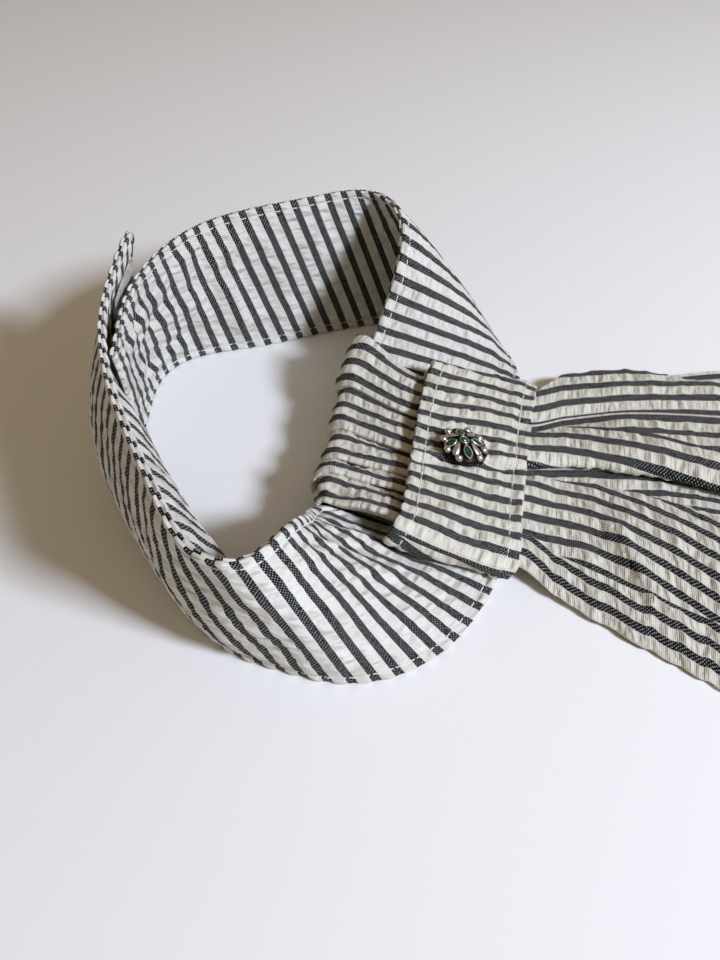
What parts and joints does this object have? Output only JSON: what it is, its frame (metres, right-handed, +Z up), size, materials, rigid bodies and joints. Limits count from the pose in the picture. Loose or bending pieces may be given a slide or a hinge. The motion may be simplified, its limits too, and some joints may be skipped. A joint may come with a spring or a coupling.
{
  "type": "pre-tied stock tie, laid on a surface",
  "caption": "Pre-tied stock tie laid on its lower edge: striped seersucker neckband loop, pleated front panel, keeper sleeve with a flower button, and two tails.",
  "frame": {"origin": "centre of the bounding box in X and Y, on the surface that the tie lies on", "axes": "+X from the back of the neck loop towards the ends of the tails, +Y away from the picture's camera, +Z up"},
  "size_m": [0.324, 0.1866, 0.0585],
  "materials": {
    "seersucker_neckband": "striped charcoal and off-white seersucker, across the band",
    "seersucker_chin_panel": "striped charcoal and off-white seersucker, along the pleats",
    "seersucker_keeper": "striped charcoal and off-white seersucker, along the sleeve",
    "seersucker_tail_front": "striped charcoal and off-white seersucker, along the tail",
    "seersucker_tail_back": "striped charcoal and off-white seersucker, along the tail",
    "loop_nylon": "soft loop pile",
    "hook_nylon": "rough hook strip",
    "antique_silver": "antique silver plate, dark in the hollows",
    "green_glass_petal": "polished green glass",
    "green_glass_centre": "cut green glass"
  },
  "bodies": {
    "root": {"neckband": "seersucker_neckband", "chin_panel": "seersucker_chin_panel", "keeper": "seersucker_keeper", "tail_front": "seersucker_tail_front", "tail_back": "seersucker_tail_back", "loop_patch": "loop_nylon", "hook_patch": "hook_nylon", "jewel_setting": "antique_silver", "jewel_petal_1": "green_glass_petal", "jewel_petal_2": "green_glass_petal", "jewel_petal_3": "green_glass_petal", "jewel_petal_4": "green_glass_petal", "jewel_stone": "green_glass_centre"}
  },
  "joints": []
}
